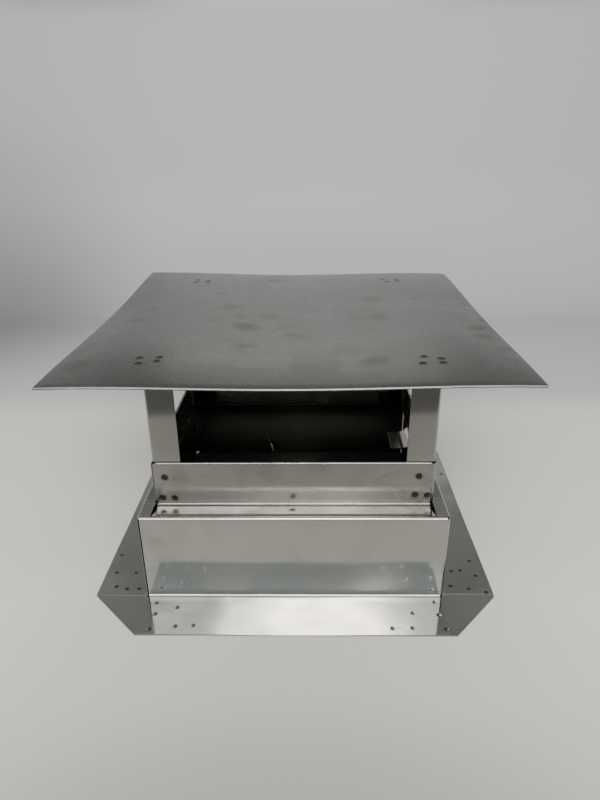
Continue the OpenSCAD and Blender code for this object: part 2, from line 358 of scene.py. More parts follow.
def l_sheet(name, half_x, half_y, paths, spots, ends, columns, wall, exists, welds, bulge, turned, mark):
    """A sheet folded into two walls round an upright corner fold.

    half_x, half_y: half the outside width and depth of the box.
    paths: the front's and the side's cross-section, as (outwards, height).
    spots: mesh-refining distances along the straight pieces of those paths.
    ends(side, u, piece): the first and last place along the side, at distance u outwards.
    columns: places along the front and along the side, within those ends.
    wall: the piece of the path that also goes round the corner.
    exists(side, piece, place): is there any sheet at that place along the side?
    welds: its marks, before it is turned.
    bulge(side, piece, share, place): how far the surface is pushed outwards.
    turned: True for the sheet at the back left, which is the same sheet turned half round.
    mark: the kind of weld mark that it has.
    """
    rows = rows_of(paths[0], spots, mark=mark)
    sides = [
        Side((0, -half_y), (0, -1), (1, 0)),
        Side((half_x, 0), (1, 0), (0, 1)),
    ]
    corner_at, corner_out = corner_columns(half_x, half_y)
    layout = [(0, place) for place in columns[0]]
    layout += [(None, k) for k in range(len(corner_at))]
    layout += [(1, place) for place in columns[1]]
    middle = np.zeros((len(rows), len(layout), 3))
    normal = np.zeros_like(middle)
    push = np.zeros(middle.shape[:2])
    for i, (piece, share) in enumerate(rows):
        flat = [paths[0].at(piece, share), paths[1].at(piece, share)]
        for j, (side, place) in enumerate(layout):
            (u, z), (nu, nz) = flat[side or 0]
            if side is None:
                at, out = corner_at[place], corner_out[place]
            else:
                first, last = ends(side, u, piece)
                low, high = columns[side][0], columns[side][-1]
                along = first + (place - low) / (high - low) * (last - first)
                at, out = sides[side].origin + along * sides[side].along, sides[side].out
                push[i, j] = bulge(side, piece, share, along)
            middle[i, j, :2] = at + u * out
            middle[i, j, 2] = z
            normal[i, j, :2] = -nu * out
            normal[i, j, 2] = -nz
    cells = np.zeros((len(rows) - 1, len(layout) - 1), bool)
    for i, (piece, _) in enumerate(rows[1:]):
        for j, ((side, place), (next_side, next_place)) in enumerate(zip(layout, layout[1:])):
            if side == next_side and side is not None:
                cells[i, j] = exists(side, piece, (place + next_place) / 2)
            else:
                cells[i, j] = piece == wall
    distance = weld_distance(middle, welds)
    push = push + dimple(distance, mark)
    if turned:
        middle[..., :2] *= -1
        normal[..., :2] *= -1
    middle = middle + normal * push[..., None]
    half = normal * SHEET / 2
    return shell(name, middle + half, middle - half, cells, distance)


# ---------------------------------------------------------------- base box

BASE_FLANGE, BASE_WALL, BASE_LIP = 0, 2, 4  # the straight pieces of the base sheet's path
BASE_SINK, BASE_WAVE = 0.25 * MM, 0.35 * MM  # how far a base wall sinks in its middle, and the waves on it
BASE_WAVE_L, STRIP_WAVE_L = 0.11, 0.16  # wavelengths on the walls and on the flange strips
STRIP_DROOP, STRIP_WAVE = 0.8 * MM, 0.2 * MM  # droop of a flange strip's free edge, and the waves on it
WALL_RUN = 0.1  # height of a base wall, as its waves take it
STRIP_FREE = 0.5  # share of a strip's length that the gussets leave free to droop
LIP_RUN = (BASE_HALF - COLLAR_Y + SHEET, BASE_HALF - COLLAR_X + SHEET)
LIP_SLOPE = [math.atan2(fall, run - FOLD_OUT) for fall, run in zip(LIP_FALL, LIP_RUN)]
LIP_HALF = (COLLAR_X - SHEET - SEAM / 2, BASE_HALF - FOLD_OUT - SEAM / 2)  # half length of the lips


def base_path(side):
    """From the flange strip's outer edge over the wall to the lip's inner edge."""
    points = [
        (FLANGE_W, FLANGE_Z),
        (-SHEET / 2, FLANGE_Z),
        (-SHEET / 2, BASE_TOP - SHEET / 2),
        (-LIP_RUN[side], BASE_TOP - LIP_FALL[side] - SHEET / 2 / math.cos(LIP_SLOPE[side])),
    ]
    return Path(points, [FOLD, FOLD])


def base_ends(side, gape):
    first = (-BASE_HALF + SHEET + SEAM + gape, -BASE_HALF + CORNER)[side]
    last = (BASE_HALF - CORNER, BASE_HALF)[side]
    return first, last


def flange_welds(turned):
    """Weld marks of one base sheet's flange strips, before it is turned."""
    front = FLANGE_WELDS
    if turned:
        front = {k: jittered(v, k + "back") for k, v in FLANGE_WELDS.items()}
    z = FLANGE_Z
    marks = [(-BASE_HALF + a * MM, -BASE_HALF - o * MM, z) for a, o in front["front_left"]]
    marks += [(BASE_HALF - a * MM, -BASE_HALF - o * MM, z) for a, o in front["front_right"]]
    side = front["side_right"] if not turned else front["side_left"]
    far = jittered(front["side_left"], "far" + str(turned))
    near_marks = [(BASE_HALF + o * MM, -BASE_HALF + a * MM, z) for a, o in side]
    far_marks = [(BASE_HALF + o * MM, BASE_HALF - a * MM, z) for a, o in far]
    if turned:
        # turned half round, this sheet's side strip is the left one, and its far end is at the front
        near_marks = [(BASE_HALF + o * MM, -BASE_HALF + a * MM, z) for a, o in far]
        far_marks = [(BASE_HALF + o * MM, BASE_HALF - a * MM, z) for a, o in FLANGE_WELDS["side_left"]]
    return marks + near_marks + far_marks


def base_sheet(name, turned):
    marks = flange_welds(turned)
    gape = 0 if turned else OPEN_SEAM
    paths = [base_path(side) for side in (0, 1)]
    out = [-y - BASE_HALF for x, y, z in marks if y < -BASE_HALF]
    out += [x - BASE_HALF for x, y, z in marks if x > BASE_HALF]
    spots = {BASE_FLANGE: [FLANGE_W - o for o in out]}
    columns = [
        spaced(*base_ends(0, gape), [x for x, y, z in marks if y < -BASE_HALF], mark=SMALL_MARK),
        spaced(*base_ends(1, gape), [y for x, y, z in marks if x > BASE_HALF], mark=SMALL_MARK),
    ]
    columns = [
        sorted({*places, *(end for end in (-half, half) if places[0] < end < places[-1])})
        for places, half in zip(columns, LIP_HALF)
    ]
    seed = "base" + str(turned)

    def bulge(side, piece, share, place):
        along = (place + BASE_HALF) / (2 * BASE_HALF)
        if piece == BASE_WALL:
            wave = ripple(np.float64(place), share * WALL_RUN, seed + str(side), BASE_WAVE_L)
            return faded(share) * faded(along) * (BASE_WAVE * wave - BASE_SINK)
        if piece == BASE_FLANGE:
            # between the gussets the strip droops a little towards its free edge
            free = max(0, 1 - abs(2 * along - 1) / STRIP_FREE)
            wave = ripple(np.float64(place), 0.0, seed + str(side), STRIP_WAVE_L)
            return (1 - share) * min(1, 2 * free) * (STRIP_WAVE * wave - STRIP_DROOP)
        return 0

    def ends(side, u, piece):
        return base_ends(side, gape)

    def exists(side, piece, place):
        return piece != BASE_LIP or abs(place) < LIP_HALF[side]

    return l_sheet(
        name, BASE_HALF, BASE_HALF, paths, spots, ends, columns, BASE_WALL,
        exists, marks, bulge, turned, SMALL_MARK,
    )


# ---------------------------------------------------------------- collar

COLLAR_FLANGE, COLLAR_WALL = 0, 2  # the straight pieces of the collar sheet's path
HEM_PIECES = (3, 4, 5, 6)  # the pieces that make its hem
LEDGE_W = (-COLLAR_LOW.y - COLLAR_Y, COLLAR_HIGH.x - COLLAR_X)  # width of the front and the side flanges
COLLAR_WAVE = 0.25 * MM  # waves on the collar's walls
COLLAR_WAVE_L, COLLAR_RUN = 0.09, 0.05  # their length, and the wall's height as they take it


def collar_path(side):
    """From the flange's outer edge over the wall and round the hem to its free edge."""
    slope, width = LIP_SLOPE[side], LEDGE_W[side]
    foot = BASE_TOP - LIP_FALL[side] + TOUCH + SHEET / 2 / math.cos(slope)
    back = -SHEET / 2 - SHEET - HEM_GAP
    points = [
        (width, foot + (width + SHEET) * math.tan(slope)),
        (-SHEET / 2, foot + SHEET / 2 * math.tan(slope)),
        (-SHEET / 2, COLLAR_TOP - SHEET / 2),
        (back, COLLAR_TOP - SHEET / 2),
        (back, COLLAR_TOP - COLLAR_HEM),
    ]
    return Path(points, [FOLD, HEM_FOLD, HEM_FOLD])


def collar_ends(side, u, piece):
    half = (COLLAR_X, COLLAR_Y)[side]
    first = (-half + SHEET + SEAM, -half + CORNER)[side]
    last = (half - CORNER, half)[side]
    if piece == COLLAR_FLANGE and side == 0:
        end = half - SHEET - SEAM - FLANGE_TAPER * max(0, u) / LEDGE_W[0]
        first, last = -end, end
    return first, last


def collar_welds(turned):
    """Weld marks of one collar sheet, before it is turned."""
    left, right = COLLAR_WELDS["left"], COLLAR_WELDS["right"]
    near = jittered(left, "collar near" + str(turned))
    far = jittered(right, "collar far" + str(turned))
    if turned:
        left, right = jittered(left, "collar back"), jittered(right, "collar back")
    near_in, far_in = COLLAR_SIDE_SHIFT
    marks = [(-COLLAR_X + a * MM, -COLLAR_Y, COLLAR_TOP - h * MM) for a, h in left]
    marks += [(COLLAR_X - a * MM, -COLLAR_Y, COLLAR_TOP - h * MM) for a, h in right]
    marks += [(COLLAR_X, -COLLAR_Y + (a + near_in) * MM, COLLAR_TOP - h * MM) for a, h in near]
    marks += [(COLLAR_X, COLLAR_Y - (a + far_in) * MM, COLLAR_TOP - h * MM) for a, h in far]
    ledge_z = BASE_TOP - LIP_FALL[0] + SHEET + LEDGE_WELD * math.tan(LIP_SLOPE[0])
    marks.append((LEDGE_WELD_X, -COLLAR_Y - LEDGE_WELD, ledge_z))
    return marks


def collar_sheet(name, turned):
    marks = collar_welds(turned)
    paths = [collar_path(side) for side in (0, 1)]
    wall_low = paths[0].at(COLLAR_WALL, 0)[0][1]
    spots = {
        COLLAR_WALL: [z - wall_low for x, y, z in marks if z > wall_low],
        COLLAR_FLANGE: [LEDGE_W[0] - LEDGE_WELD],
    }
    columns = [
        spaced(*collar_ends(0, 0, COLLAR_WALL), [x for x, y, z in marks if y < -COLLAR_Y + MM]),
        spaced(*collar_ends(1, 0, COLLAR_WALL), [y for x, y, z in marks if x > COLLAR_X - MM]),
    ]
    columns = [sorted({*places, -end, end}) for places, end in zip(columns, HEM_HALF)]
    seed = "collar" + str(turned)

    def bulge(side, piece, share, place):
        half = (COLLAR_X, COLLAR_Y)[side]
        along = (place + half) / (2 * half)
        if piece == COLLAR_WALL:
            wave = ripple(np.float64(place), share * COLLAR_RUN, seed + str(side), COLLAR_WAVE_L)
            return faded(share) * faded(along) * COLLAR_WAVE * wave
        return 0

    def exists(side, piece, place):
        if piece not in HEM_PIECES:
            return True
        return abs(place) < HEM_HALF[side]

    return l_sheet(
        name, COLLAR_X, COLLAR_Y, paths, spots, collar_ends, columns, COLLAR_WALL,
        exists, marks, bulge, turned, BIG_MARK,
    )


# ---------------------------------------------------------------- cap

CAP_FOLD = (SHEET + HEM_GAP) / 2  # middle radius of the hem's fold
CAP_EDGE = CAP_HALF - CAP_FOLD - SHEET / 2  # where that fold starts
CAP_SINK, CAP_WAVE_L = 0.25 * MM, 0.2  # depth and length of the waves on the cap


def cap_height(x, y):
    """Height of the cap's top face: sagging edges and lifted corners."""
    u, v = x / CAP_HALF, y / CAP_HALF
    lift = CORNER_LIFT[(1 if x >= 0 else -1, 1 if y >= 0 else -1)]
    return CAP_Z - CAP_SAG_SIDE * u ** 4 - CAP_SAG_FRONT * v ** 4 + lift * u ** 2 * v ** 2


def tab_marks():
    """Weld marks on the cap's top, over the four post tabs."""
    marks = []
    for sx, side in ((-1, "left"), (1, "right")):
        for sy in (-1, 1):
            spots = TAB_WELDS[side] if sy < 0 else jittered(TAB_WELDS[side], "tab" + side, TAB_JITTER)
            for a, o in spots:
                x = sx * (POST_HIGH.x - a * MM)
                y = sy * (COLLAR_Y + o * MM)
                marks.append((x, y, cap_height(x, y) - SHEET / 2))
    return marks


def hem_track(spots):
    """Places across the cap, from one hem's free edge over the top to the other's: (place, drop, turn)."""
    hem_end = CAP_HEM - CAP_FOLD
    half = []
    for k in range(1, FOLD_STEPS):
        turn = math.pi * k / FOLD_STEPS
        half.append((CAP_EDGE + CAP_FOLD * math.sin(turn), CAP_FOLD * (1 - math.cos(turn)), turn))
    half += [(CAP_EDGE - s, 2 * CAP_FOLD, math.pi) for s in (0, hem_end / 2, hem_end)]
    top = [(p, 0.0, 0.0) for p in spaced(-CAP_EDGE, CAP_EDGE, spots)]
    left = [(-p, drop, -turn) for p, drop, turn in reversed(half)]
    return left + top + half


def mitred(place, across, turn):
    """A place along a hem. Under the cap the hem is shorter towards its free edge."""
    if abs(turn) < math.pi:
        return place
    return place * (1 - max(0, (CAP_EDGE - abs(across)) / CAP_EDGE))


def cap_sheet(name):
    marks = tab_marks()
    across = hem_track([x for x, y, z in marks])
    deep = hem_track([y for x, y, z in marks])
    middle = np.zeros((len(deep), len(across), 3))
    normal = np.zeros_like(middle)
    cells = np.ones((len(deep) - 1, len(across) - 1), bool)
    for i, (y, drop_y, turn_y) in enumerate(deep):
        for j, (x, drop_x, turn_x) in enumerate(across):
            px = x if turn_x else mitred(x, y, turn_y)
            py = y if turn_y else mitred(y, x, turn_x)
            middle[i, j] = (px, py, cap_height(px, py) - SHEET / 2 - drop_x - drop_y)
            if turn_y:
                normal[i, j] = (0, math.sin(turn_y), math.cos(turn_y))
            else:
                normal[i, j] = (math.sin(turn_x), 0, math.cos(turn_x))
    # no cells where two hems would cross, at the corners
    folded_y = np.array([turn != 0 for _, _, turn in deep])
    folded_x = np.array([turn != 0 for _, _, turn in across])
    cells &= ~((folded_y[:-1] | folded_y[1:])[:, None] & (folded_x[:-1] | folded_x[1:])[None, :])
    top = (~folded_y)[:, None] & (~folded_x)[None, :]
    distance = np.where(top, weld_distance(middle, marks), FAR_FROM_WELD)
    wave = ripple(middle[..., 0], middle[..., 1], "cap", CAP_WAVE_L)
    # the waves only sink below the cap's own height, and die out towards its edges
    inside = np.clip(1 - (np.maximum(abs(middle[..., 0]), abs(middle[..., 1])) / CAP_HALF) ** 6, 0, 1)
    middle[..., 2] += np.where(top, dimple(distance) - CAP_SINK * (1 - wave) * inside, 0)
    half = normal * SHEET / 2
    return shell(name, middle + half, middle - half, cells, distance)


# ---------------------------------------------------------------- posts

def tab_height(y, sx, sy):
    """Lowest height under the cap across a post's width, at the corner with the signs sx and sy."""
    return min(cap_height(sx * x, sy * y) for x in (POST_HIGH.x, POST_HIGH.x - POST_LEG)) - SHEET - TOUCH


def post_sheet(name, sx, sy):
    """One angle post at the corner with the signs sx and sy. It is drawn at the front right and mirrored."""
    upright = Path(
        [
            (-SHEET / 2, POST_LOW.z),
            (-SHEET / 2, tab_height(POST_Y, sx, sy) - SHEET / 2),
            (TAB_L, tab_height(TAB_END, sx, sy) - SHEET / 2),
        ],
        [POST_FOLD],
    )
    section = Path(
        [
            (POST_HIGH.x - POST_LEG, -POST_Y + SHEET / 2),
            (POST_HIGH.x - SHEET / 2, -POST_Y + SHEET / 2),
            (POST_HIGH.x - SHEET / 2, -POST_Y + POST_LEG),
        ],
        [POST_FOLD],
    )
    side_top = tab_height(POST_Y, sx, sy) - SIDE_LEG_SHORT
    marks = [(abs(x), abs(y)) for x, y, z in tab_marks() if sx * x > 0 and sy * y > 0]
    rows = rows_of(upright, {2: [y - POST_Y for x, y in marks]})
    cols = rows_of(section, {0: [x - POST_HIGH.x + POST_LEG for x, y in marks]})
    middle = np.zeros((len(rows), len(cols), 3))
    normal = np.zeros_like(middle)
    for i, (piece, share) in enumerate(rows):
        (u, z), (nu, nz) = upright.at(piece, share)
        for j, (part, along) in enumerate(cols):
            (x, y), (nx, ny) = section.at(part, along)
            if piece == 0:
                middle[i, j] = (x, y, min(z, side_top) if part else z)
                normal[i, j] = (-nx, -ny, 0)
            else:
                middle[i, j] = (x, -POST_Y - u, z)
                normal[i, j] = (0, nu, -nz)
    cells = np.zeros((len(rows) - 1, len(cols) - 1), bool)
    for i in range(len(rows) - 1):
        for j in range(len(cols) - 1):
            cells[i, j] = cols[j + 1][0] == 0 or rows[i + 1][0] == 0
    welds = [(x, -y, tab_height(y, sx, sy) - SHEET / 2) for x, y in marks]
    distance = weld_distance(middle, welds)
    middle = middle - normal * dimple(distance)[..., None]
    half = normal * SHEET / 2
    mirror = np.array([sx, -sy, 1.0])
    outer, inner = (middle + half) * mirror, (middle - half) * mirror
    if sx * sy > 0:
        outer, inner = inner, outer
    return shell(name, outer, inner, cells, distance)


# ---------------------------------------------------------------- gussets and fittings

def gusset_plate(name, sx, sy):
    """A corner plate under the flange strips, with its inner corner cut away for the duct."""
    flange = GUSSET_HIGH.x
    overhang = GUSSET_OVERHANG if sx > 0 and sy < 0 else 0
    inner = BASE_HALF - SHEET
    outline = [
        (flange, -BASE_HALF), (flange, -GUSSET_OUTER), (inner, -GUSSET_INNER), (inner, -inner),
        (GUSSET_INNER, -inner), (GUSSET_OUTER, -flange), (BASE_HALF + overhang, -flange),
    ]
    points = [(sx * x, -sy * y, z) for z in (0, SHEET) for x, y in outline]
    n = len(outline)
    faces = [list(range(n)), list(range(2 * n - 1, n - 1, -1))]
    faces += [[k, k + n, (k + 1) % n + n, (k + 1) % n] for k in range(n)]
    if sx * sy > 0:
        faces = [f[::-1] for f in faces]
    return finished(name, mesh_of(name, points, faces), PLATE_BEVEL)


def clip_strip(name):
    """The bent hold-down strip inside the right wall."""
    wall_x = CLIP_HIGH.x
    path = Path(
        [
            (wall_x - SHEET / 2, CLIP_HIGH.z),
            (wall_x - SHEET / 2, CLIP_LOW.z + SHEET / 2),
            (CLIP_LOW.x, CLIP_LOW.z + SHEET / 2),
        ],
        [CLIP_FOLD],
    )
    spacing = 3 * MM
    rows = rows_of(path, coarse=spacing, fold_steps=24)
    places = spaced(CLIP_LOW.y, CLIP_HIGH.y, coarse=spacing)
    middle = np.zeros((len(rows), len(places), 3))
    normal = np.zeros_like(middle)
    for i, (piece, share) in enumerate(rows):
        (x, z), (nx, nz) = path.at(piece, share)
        for j, y in enumerate(places):
            middle[i, j] = (x, y, z)
            normal[i, j] = (nx, 0, nz)
    half = normal * SHEET / 2
    cells = np.ones((len(rows) - 1, len(places) - 1), bool)
    weld = np.full(middle.shape[:2], FAR_FROM_WELD)
    return shell(name, middle + half, middle - half, cells, weld, PLATE_BEVEL)


def wire_hook(name):
    """The short bent wire low on the inside of the back wall, a round bar with rounded ends."""
    rings, sides, cap_steps = 20, 20, 5
    radius, crown = HOOK_RADIUS, 0.4 * HOOK_RADIUS  # crown: how far the rounded ends stand out
    top = np.array([HOOK_X, BASE_HALF - SHEET - TOUCH - radius, HOOK_Z])
    stations = []
    for k in range(rings + 1):
        angle = HOOK_TURN * k / rings
        place = np.array([0, HOOK_BEND * (math.cos(angle) - 1), -HOOK_BEND * math.sin(angle)])
        way = np.array([0, -math.sin(angle), -math.cos(angle)])
        stations.append((place, way, radius))

    def rounded(place, way, sign):
        ends = []
        for k in range(1, cap_steps + 1):
            a = math.pi / 2 * k / cap_steps
            ring = max(radius * math.cos(a), 1e-5)  # the last ring is almost a point
            ends.append((place + sign * way * crown * math.sin(a), way, ring))
        return ends

    (start, start_way, _), (end, end_way, _) = stations[0], stations[-1]
    start, end = start + start_way * crown, end - end_way * crown
    track = rounded(start, start_way, -1)[::-1] + [(start, start_way, radius)]
    track += stations[1:-1]
    track += [(end, end_way, radius)] + rounded(end, end_way, 1)
    points, faces = [], []
    across = np.array([1.0, 0, 0])
    for place, way, r in track:
        up = np.cross(way, across)
        for k in range(sides):
            a = 2 * math.pi * k / sides
            points.append(place + r * (math.cos(a) * across + math.sin(a) * up))
    for i in range(len(track) - 1):
        for k in range(sides):
            a, b = i * sides + k, i * sides + (k + 1) % sides
            faces.append([a, b, b + sides, a + sides])
    faces.append(list(range(sides))[::-1])
    faces.append([len(points) - sides + k for k in range(sides)])
    tilt = np.array(Matrix.Rotation(-HOOK_LEAN, 3, "Y"))
    points = [tuple(tilt @ p + top) for p in points]
    return finished(name, mesh_of(name, points, faces), bevel=0.0)


# ---------------------------------------------------------------- materials

class Nodes:
    """Short calls for the shader nodes that the steel uses."""

    def __init__(self, name):
        self.material = bpy.data.materials.new(name)
        self.material.use_nodes = True
        self.tree = self.material.node_tree
        self.shader = self.tree.nodes["Principled BSDF"]
        self.place = self.node("ShaderNodeTexCoord").outputs["Object"]

    def node(self, kind, **settings):
        made = self.tree.nodes.new(kind)
        for key, value in settings.items():
            setattr(made, key, value)
        return made

    def join(self, socket, value):
        if isinstance(value, bpy.types.NodeSocket):
            self.tree.links.new(value, socket)
        else:
            socket.default_value = value

    def math(self, operation, a, b=0.0, clamp=False):
        made = self.node("ShaderNodeMath", operation=operation, use_clamp=clamp)
        self.join(made.inputs[0], a)
        self.join(made.inputs[1], b)
        return made.outputs[0]

    def mapped(self, place, **settings):
        """A place that is moved, turned or stretched."""
        made = self.node("ShaderNodeMapping")
        for key, value in settings.items():
            made.inputs[key].default_value = value
        self.join(made.inputs["Vector"], place)
        return made.outputs[0]

    def noise(self, place, scale, detail, rough=0.5, twist=0.0, output="Fac"):
        made = self.node("ShaderNodeTexNoise")
        made.inputs["Scale"].default_value = scale
        made.inputs["Detail"].default_value = detail
        made.inputs["Roughness"].default_value = rough
        made.inputs["Distortion"].default_value = twist
        self.join(made.inputs["Vector"], place)
        return made.outputs[output]

    def bump(self, height, strength, distance, normal=None):
        made = self.node("ShaderNodeBump")
        made.inputs["Strength"].default_value = strength
        made.inputs["Distance"].default_value = distance
        self.join(made.inputs["Height"], height)
        if normal:
            self.join(made.inputs["Normal"], normal)
        return made.outputs[0]

    def ramp(self, value, stops, smooth=True):
        made = self.node("ShaderNodeValToRGB")
        made.color_ramp.interpolation = "EASE" if smooth else "LINEAR"
        ramp = made.color_ramp.elements
        while len(ramp) < len(stops):
            ramp.new(0.5)
        for element, (at, colour) in zip(ramp, stops):
            element.position = at
            element.color = (*((colour,) * 3 if isinstance(colour, (int, float)) else colour), 1)
        self.join(made.inputs[0], value)
        return made.outputs["Color"]

    def mix(self, share, a, b, blend="MIX"):
        made = self.node("ShaderNodeMix", data_type="RGBA", blend_type=blend)
        self.join(made.inputs[0], share)
        self.join(made.inputs[6], a if isinstance(a, bpy.types.NodeSocket) else (*a, 1))
        self.join(made.inputs[7], b if isinstance(b, bpy.types.NodeSocket) else (*b, 1))
        return made.outputs[2]


STEEL = (0.60, 0.59, 0.555)  # clean sheet at full tone
GRIME = (0.62, 0.60, 0.55)  # what the thickest smudge leaves of it
# dark colour of the cut edges: painted shade along the sheets' edges and in the gaps between them
CUT_EDGE_SHADE = (0.09, 0.09, 0.085)
GRAIN_LEVEL = (14, 900, 900)  # rolling grain along x
GRAIN_UPRIGHT = (900, 900, 14)  # rolling grain along z
MARK_REACH = 10.0  # the marks' ramps run over this many mm from the middle

# How a weld mark changes the steel: (unevenness in mm, ramp of factors on its colour)
HEAT_TINT = (2.2, [
    (0.00, (0.50, 0.42, 0.34)), (0.10, (0.26, 0.20, 0.15)), (0.19, (0.075, 0.055, 0.045)),
    (0.27, (0.20, 0.15, 0.12)), (0.35, (0.66, 0.59, 0.50)), (0.46, (0.95, 0.93, 0.90)),
    (0.62, (1.0, 1.0, 1.0)),
])
PRESSED = (0.8, [(0.00, 0.50), (0.10, 0.26), (0.18, 0.28), (0.25, 0.90), (0.33, 1.0)])


def steel(name, tone, rough, smudge, seed, prints=0.0, grain=GRAIN_LEVEL, marks=HEAT_TINT):
    """Mill-finish stainless: faint rolling grain, wipes, hand prints and marks round the spot welds."""
    n = Nodes(name)
    here = n.mapped(n.place, Location=(seed, seed * 0.7, seed * 1.3))

    # cloudy patches and wiped streaks
    patches = n.ramp(n.noise(here, scale=11, detail=4, rough=0.55, twist=0.6), [(0.42, 0.0), (0.62, 1.0)])
    streaked = n.mapped(here, Scale=(1, 3.2, 2.2), Rotation=(0.3, 0.2, 0.6))
    wiped = n.ramp(n.noise(streaked, scale=16, detail=5, rough=0.6, twist=1.2), [(0.5, 0.0), (0.72, 1.0)])
    dirt = n.math("ADD", n.math("MULTIPLY", patches, 0.35), n.math("MULTIPLY", wiped, 0.35))
    dirt = n.math("MULTIPLY", dirt, smudge)

    # finger and palm prints: soft round spots, each with its own strength
    bent = n.node("ShaderNodeVectorMath", operation="MULTIPLY_ADD")
    n.join(bent.inputs[0], n.noise(here, scale=30, detail=2, output="Color"))
    bent.inputs[1].default_value = (0.022, 0.022, 0.022)
    n.join(bent.inputs[2], here)
    spots = n.node("ShaderNodeTexVoronoi")
    spots.inputs["Scale"].default_value = 30
    n.join(spots.inputs["Vector"], bent.outputs[0])
    shape = n.ramp(spots.outputs["Distance"], [(0.12, 1.0), (0.56, 0.0)])
    strength = n.ramp(spots.outputs["Color"], [(0.45, 0.0), (0.85, 1.0)])
    touched = n.ramp(n.noise(here, scale=6.5, detail=2), [(0.36, 0.0), (0.54, 1.0)])
    print_share = n.math("MULTIPLY", n.math("MULTIPLY", shape, strength), touched)
    dirt = n.math("ADD", dirt, n.math("MULTIPLY", print_share, prints), True)

    # colour: smudged, marked by the welds, and dark on the cut edges as painted shade along the sheets' edges
    # and in the gaps between them
    clean = tuple(c * tone for c in STEEL)
    colour = n.mix(dirt, clean, tuple(c * k for c, k in zip(clean, GRIME)))
    weld = n.node("ShaderNodeAttribute", attribute_name="weld").outputs["Fac"]
    sheared = n.node("ShaderNodeAttribute", attribute_name="sheared").outputs["Fac"]
    uneven, stops = marks
    waver = n.math("SUBTRACT", n.noise(here, scale=420, detail=3, rough=0.6, twist=0.3), 0.5)
    from_middle = n.math("ADD", weld, n.math("MULTIPLY", waver, uneven))
    tint = n.ramp(n.math("DIVIDE", from_middle, MARK_REACH, True), stops)
    colour = n.mix(1.0, colour, tint, "MULTIPLY")
    colour = n.mix(n.math("MULTIPLY", sheared, 0.8), colour, CUT_EDGE_SHADE)
    n.join(n.shader.inputs["Base Color"], colour)
    n.shader.inputs["Metallic"].default_value = 1.0

    # roughness: more under dirt, at the welds and on the cut edges
    rolled = n.noise(n.mapped(n.place, Scale=grain), scale=1.0, detail=2)
    scorched = n.math("SUBTRACT", 1.0, n.math("DIVIDE", weld, 4.0, True))
    roughness = n.math("ADD", n.math("MULTIPLY", dirt, 0.14), rough)
    roughness = n.math("ADD", roughness, n.math("MULTIPLY", n.math("SUBTRACT", rolled, 0.5), 0.02))
    roughness = n.math("ADD", roughness, n.math("MULTIPLY", scorched, 0.15))
    roughness = n.math("ADD", roughness, n.math("MULTIPLY", sheared, 0.3))
    n.join(n.shader.inputs["Roughness"], roughness)

    # the grain's relief, and shallow unevenness of the whole sheet
    relief = n.bump(rolled, strength=0.015, distance=0.0001)
    waves = n.noise(here, scale=5.5, detail=2, rough=0.4, twist=0.2)
    n.join(n.shader.inputs["Normal"], n.bump(waves, strength=0.22, distance=0.004, normal=relief))
    return n.material


# ---------------------------------------------------------------- the object

def put(piece, node, material):
    """Gives a piece its material, hangs it on the root body and hides the CAD node that it stands for."""
    piece.data.materials.append(material)
    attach(piece, "root")
    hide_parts(node)


CORNERS = (("front_left", -1, -1), ("front_right", 1, -1), ("back_left", -1, 1), ("back_right", 1, 1))
HALVES = (("front_right", False), ("back_left", True))

CAP_STEEL = steel("cap_steel", tone=0.265, rough=0.27, smudge=0.4, prints=0.65, seed=5.0)
POST_STEEL = steel("post_steel", tone=0.42, rough=0.08, smudge=0.35, grain=GRAIN_UPRIGHT, seed=7.0)
COLLAR_STEEL = steel("collar_steel", tone=0.42, rough=0.22, smudge=1.0, prints=0.5, seed=11.0)
BASE_STEEL = steel("base_steel", tone=0.61, rough=0.09, smudge=0.5, prints=0.25, marks=PRESSED, seed=17.0)
GUSSET_STEEL = steel("gusset_steel", tone=0.6, rough=0.24, smudge=0.4, marks=PRESSED, seed=23.0)
FITTING_STEEL = steel("fitting_steel", tone=0.5, rough=0.2, smudge=0.2, seed=29.0)

put(cap_sheet("cap_panel"), "cap", CAP_STEEL)
for corner, sx, sy in CORNERS:
    node = "post_" + corner
    put(post_sheet(node + "_angle", sx, sy), node, POST_STEEL)
for half, turned in HALVES:
    node = "collar_" + half
    put(collar_sheet(node + "_folded", turned), node, COLLAR_STEEL)
for half, turned in HALVES:
    node = "base_" + half
    put(base_sheet(node + "_folded", turned), node, BASE_STEEL)
for corner, sx, sy in CORNERS:
    node = "gusset_" + corner
    put(gusset_plate(node + "_plate", sx, sy), node, GUSSET_STEEL)
put(clip_strip("hold_down_clip"), "inner_clip", FITTING_STEEL)
put(wire_hook("bent_hook"), "inner_hook", FITTING_STEEL)


# ---------------------------------------------------------------- studio

TABLE_FRONT = -0.52  # the table's edge towards the camera
TABLE_BACK = 0.33  # where the pale table gives way to the grey background
TABLE_BLEND = 0.05  # half the width of that change
TABLE_COLOUR, WALL_COLOUR = (0.56, 0.555, 0.505), (0.41, 0.415, 0.42)
WALL_Y, WALL_HEIGHT, WALL_BEND = 1.15, 2.2, 0.35
WALL_STEPS = 24  # mesh steps round the bend
SWEEP_WIDTH = 6.0
HEIGHT_REACH = 2.0  # a ramp over heights runs over this many metres
OUT_OF_VIEW = (0.68, 0.78)  # between these heights the wall's painted light and shade fade in

# Painted light and shade on the studio: brightness by the distance in metres from a fixed point
SHADE_AT = (0.0, TABLE_FRONT - 0.08, 0.0)  # the shade in front of the table's near edge
SHADE = [(0.08, 0.22), (0.20, 0.36), (0.28, 0.50), (0.36, 0.70), (0.52, 1.0)]
PAINTED_GLOW_AT = (0.0, WALL_Y, 0.85)  # painted light and shade on the wall, above what the camera sees of it
PAINTED_GLOW = [(0.25, 1.1), (0.48, 0.54), (0.68, 0.54), (0.80, 0.8)]
DIM_AT = (-0.9, 0.8, 0.05)  # the dimmer corner at the left
DIM = [(0.15, 0.5), (0.65, 1.0)]

